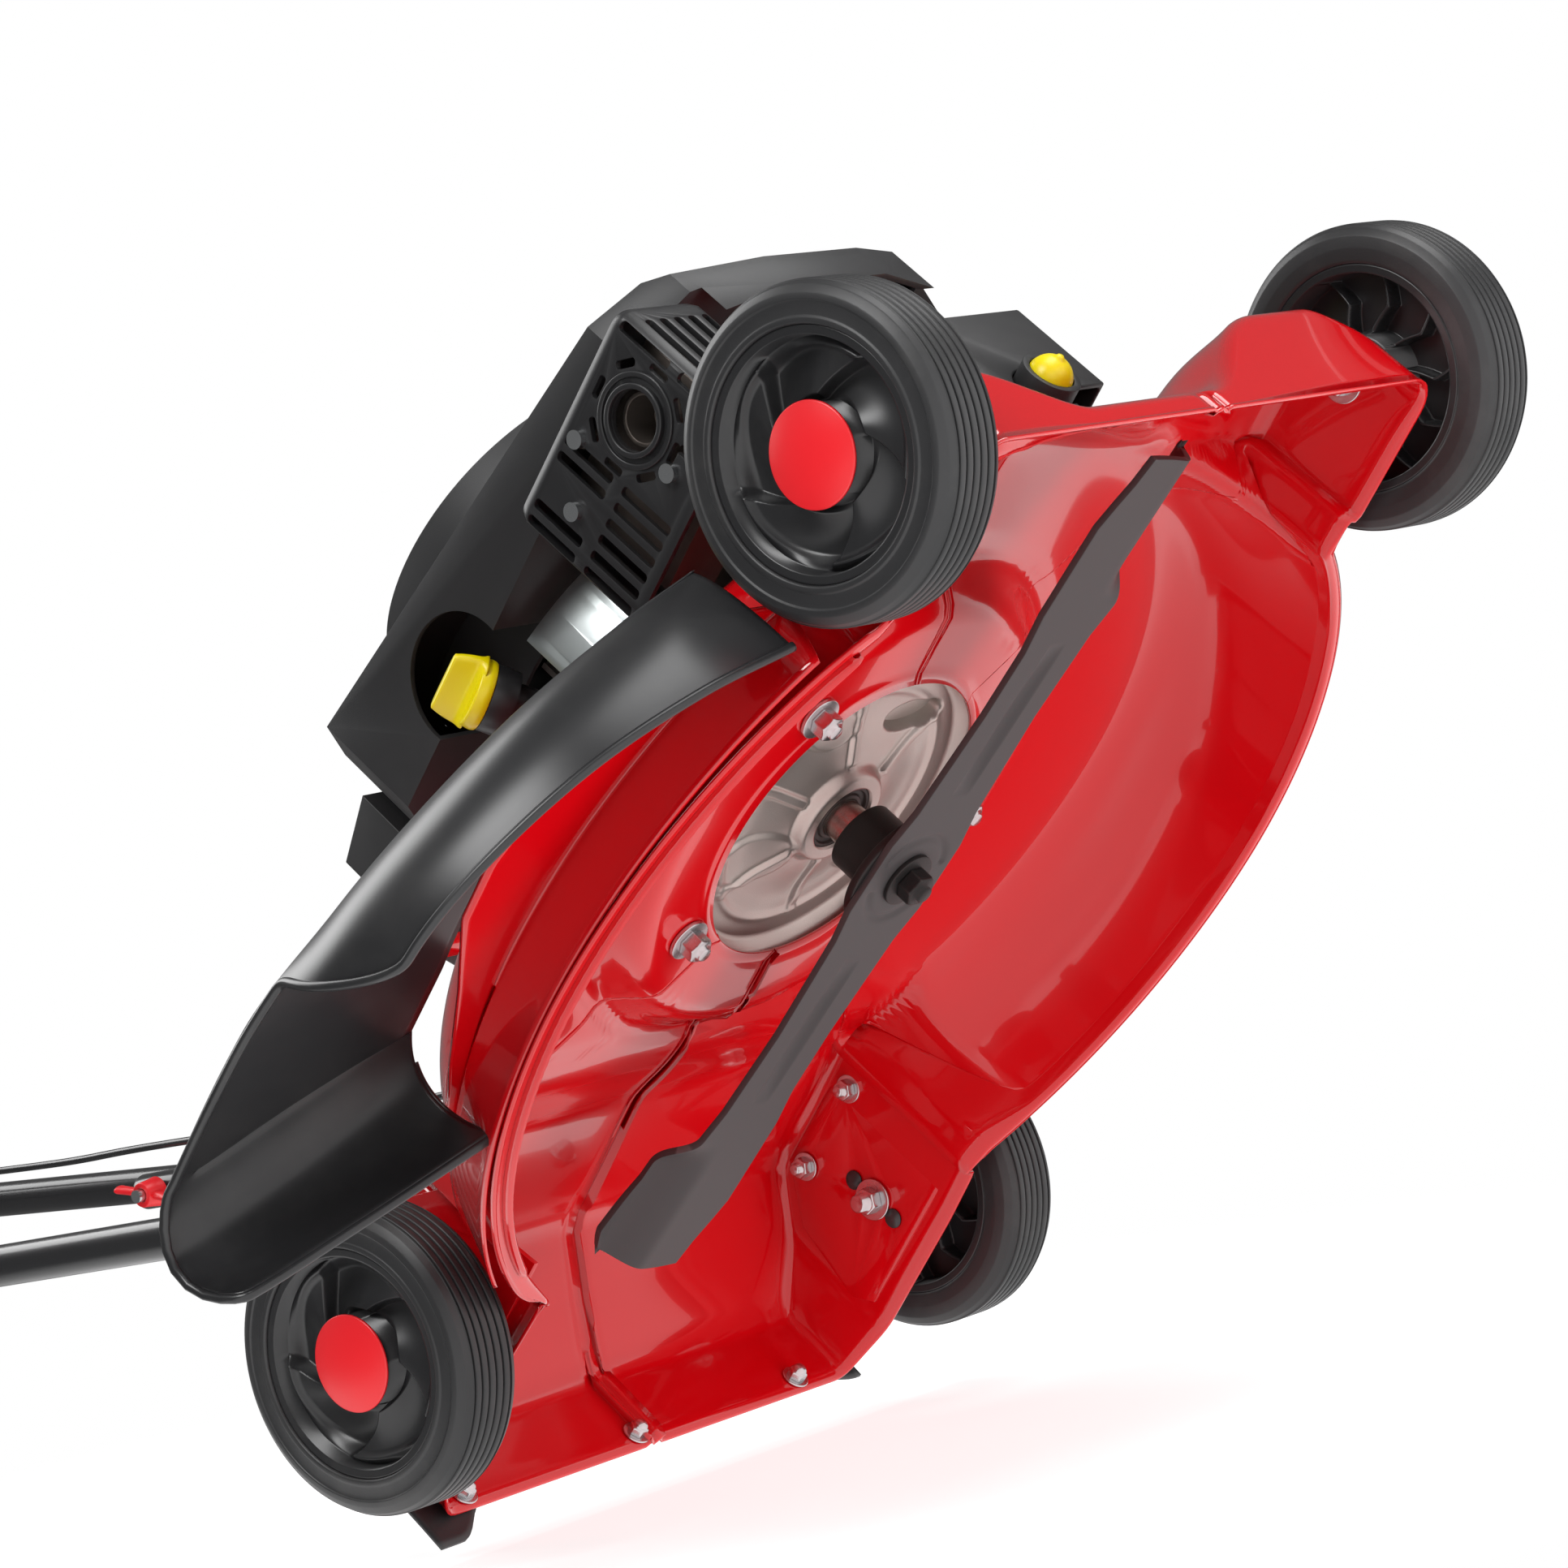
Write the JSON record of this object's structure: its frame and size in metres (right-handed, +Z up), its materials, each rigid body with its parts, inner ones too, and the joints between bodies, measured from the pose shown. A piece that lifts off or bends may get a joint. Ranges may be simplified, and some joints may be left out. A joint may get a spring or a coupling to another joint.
{
  "type": "push lawn mower",
  "caption": "Petrol push mower with a red side-discharge steel deck, a blade on a vertical crankshaft, four wheels, a lifting deflector and a folding tube handle.",
  "frame": {"origin": "on the ground under the middle of the whole model's bounding box, with the tyres resting on z = 0", "axes": "-Y is forward, +Z is up, +X is the operator's left; the discharge chute is on the -X side"},
  "size_m": [0.681, 1.3828, 0.9357],
  "materials": {
    "red_enamel": "glossy red enamel on pressed steel",
    "zinc": "bright zinc plate",
    "black_plastic": "grained black moulding",
    "black_tube": "black powder coat",
    "tyre_rubber": "moulded black tread",
    "hub_plastic": "smooth black moulding",
    "red_plastic": "satin red moulding",
    "yellow_plastic": "bright yellow moulding",
    "yellow_rubber": "soft yellow rubber",
    "blade_steel": "dark matte coat on hardened steel",
    "black_steel": "black oxide",
    "bright_steel": "turned steel",
    "cast_aluminium": "bead-blasted casting",
    "brown_rubber": "brown lip seal",
    "exhaust_steel": "heat-browned steel",
    "foam": "closed-cell foam",
    "ceramic": "glazed white ceramic and steel"
  },
  "bodies": {
    "mower": {"deck": "red_enamel", "rear_shield": "black_plastic", "shield_screws": "zinc", "height_plate_left": "red_enamel", "height_plate_right": "red_enamel", "plate_bolts": "zinc", "axle_bolts": "zinc", "oil_seal": "brown_rubber", "sump": "cast_aluminium", "crankcase": "cast_aluminium", "cylinder_head": "cast_aluminium", "engine_bolts": "zinc", "shroud": "black_plastic", "recoil_cover": "black_plastic", "fuel_tank": "black_plastic", "air_filter_base": "black_plastic", "muffler": "exhaust_steel", "muffler_guard": "black_plastic", "guard_screws": "zinc", "heat_shield": "zinc", "oil_filler": "black_plastic", "spark_plug": "ceramic", "plug_boot": "black_plastic", "hinge_bracket": "red_enamel", "hinge_rod": "zinc", "hinge_spring": "zinc", "handle_brackets": "black_tube", "lower_handle_left": "black_tube", "lower_handle_right": "black_tube", "handle_bolts": "zinc", "bail_cable": "black_plastic"},
    "rotor": {"blade": "blade_steel", "blade_adapter": "black_steel", "blade_bolt": "zinc", "crankshaft": "bright_steel", "flywheel": "cast_aluminium"},
    "starter_pulley": {"starter_pulley": "black_plastic"},
    "starter_grip": {"starter_grip": "black_plastic"},
    "fuel_cap": {"fuel_cap": "black_plastic"},
    "dipstick": {"dipstick_cap": "yellow_plastic"},
    "filter_cover": {"air_filter_cover": "black_plastic"},
    "primer": {"primer_bulb": "yellow_rubber"},
    "deflector": {"deflector": "black_plastic"},
    "wing_nut_left": {"wing_nut_left": "red_plastic"},
    "wing_nut_right": {"wing_nut_right": "red_plastic"},
    "upper_handle": {"upper_handle": "black_tube", "grip": "foam"},
    "bail": {"bail_lever": "black_tube"},
    "wheel_front_left": {"tyre_front_left": "tyre_rubber", "hub_front_left": "hub_plastic", "cap_front_left": "red_plastic"},
    "wheel_front_right": {"tyre_front_right": "tyre_rubber", "hub_front_right": "hub_plastic", "cap_front_right": "red_plastic"},
    "wheel_rear_left": {"tyre_rear_left": "tyre_rubber", "hub_rear_left": "hub_plastic", "cap_rear_left": "red_plastic"},
    "wheel_rear_right": {"tyre_rear_right": "tyre_rubber", "hub_rear_right": "hub_plastic", "cap_rear_right": "red_plastic"}
  },
  "joints": [
    {"name": "wheel_spin_front_left", "type": "hinge", "parent": "mower", "child": "wheel_front_left", "pos_m": [0.2805, -0.61439, 0.077], "axis": [1, 0, 0], "continuous": true},
    {"name": "wheel_spin_front_right", "type": "hinge", "parent": "mower", "child": "wheel_front_right", "pos_m": [-0.1515, -0.61439, 0.077], "axis": [1, 0, 0], "continuous": true},
    {"name": "wheel_spin_rear_left", "type": "hinge", "parent": "mower", "child": "wheel_rear_left", "pos_m": [0.2805, -0.06839, 0.077], "axis": [1, 0, 0], "continuous": true},
    {"name": "wheel_spin_rear_right", "type": "hinge", "parent": "mower", "child": "wheel_rear_right", "pos_m": [-0.1515, -0.06839, 0.077], "axis": [1, 0, 0], "continuous": true},
    {"name": "rotor_spin", "type": "hinge", "parent": "mower", "child": "rotor", "pos_m": [0.0645, -0.34139, 0.062], "axis": [0, 0, 1], "continuous": true},
    {"name": "starter_pull", "type": "slide", "parent": "mower", "child": "starter_grip", "axis": [0, 1, 0], "range_m": [0, 0.6], "stiffness_N_per_m": 20, "springref_m": -0.1},
    {"name": "pulley_turn", "type": "hinge", "parent": "mower", "child": "starter_pulley", "pos_m": [0.0645, -0.34139, 0.329], "axis": [0, 0, 1], "range_deg": [0, 1150]},
    {"name": "fuel_cap_turn", "type": "hinge", "parent": "mower", "child": "fuel_cap", "pos_m": [0.1345, -0.20139, 0.306], "axis": [0, 0, 1], "range_deg": [0, 120]},
    {"name": "dipstick_turn", "type": "hinge", "parent": "mower", "child": "dipstick", "pos_m": [-0.0855, -0.34739, 0.232], "axis": [-0.7071, 0, 0.7071], "range_deg": [0, 90]},
    {"name": "filter_cover_open", "type": "slide", "parent": "mower", "child": "filter_cover", "axis": [0, -1, 0], "range_m": [0, 0.09]},
    {"name": "primer_press", "type": "slide", "parent": "mower", "child": "primer", "axis": [0, 1, 0], "range_m": [0, 0.005], "stiffness_N_per_m": 800},
    {"name": "deflector_lift", "type": "hinge", "parent": "mower", "child": "deflector", "pos_m": [-0.2355, -0.34139, 0.118], "axis": [0, 1, 0], "range_deg": [0, 70], "stiffness_Nm_per_rad": 0.6, "springref_deg": -22.92},
    {"name": "handle_fold", "type": "hinge", "parent": "mower", "child": "upper_handle", "pos_m": [0.0645, 0.30869, 0.51223], "axis": [1, 0, 0], "range_deg": [0, 145]},
    {"name": "wing_nut_left_turn", "type": "hinge", "parent": "mower", "child": "wing_nut_left", "pos_m": [0.2345, 0.30869, 0.51223], "axis": [1, 0, 0], "continuous": true},
    {"name": "wing_nut_right_turn", "type": "hinge", "parent": "mower", "child": "wing_nut_right", "pos_m": [-0.1055, 0.30869, 0.51223], "axis": [1, 0, 0], "continuous": true},
    {"name": "bail_squeeze", "type": "hinge", "parent": "upper_handle", "child": "bail", "pos_m": [0.0645, 0.57032, 0.77386], "axis": [1, 0, 0], "range_deg": [-17, 0], "stiffness_Nm_per_rad": 3}
  ],
  "couplings": [
    {"joint": "pulley_turn", "follows": "starter_pull", "rad_per_m": 33.333}
  ]
}
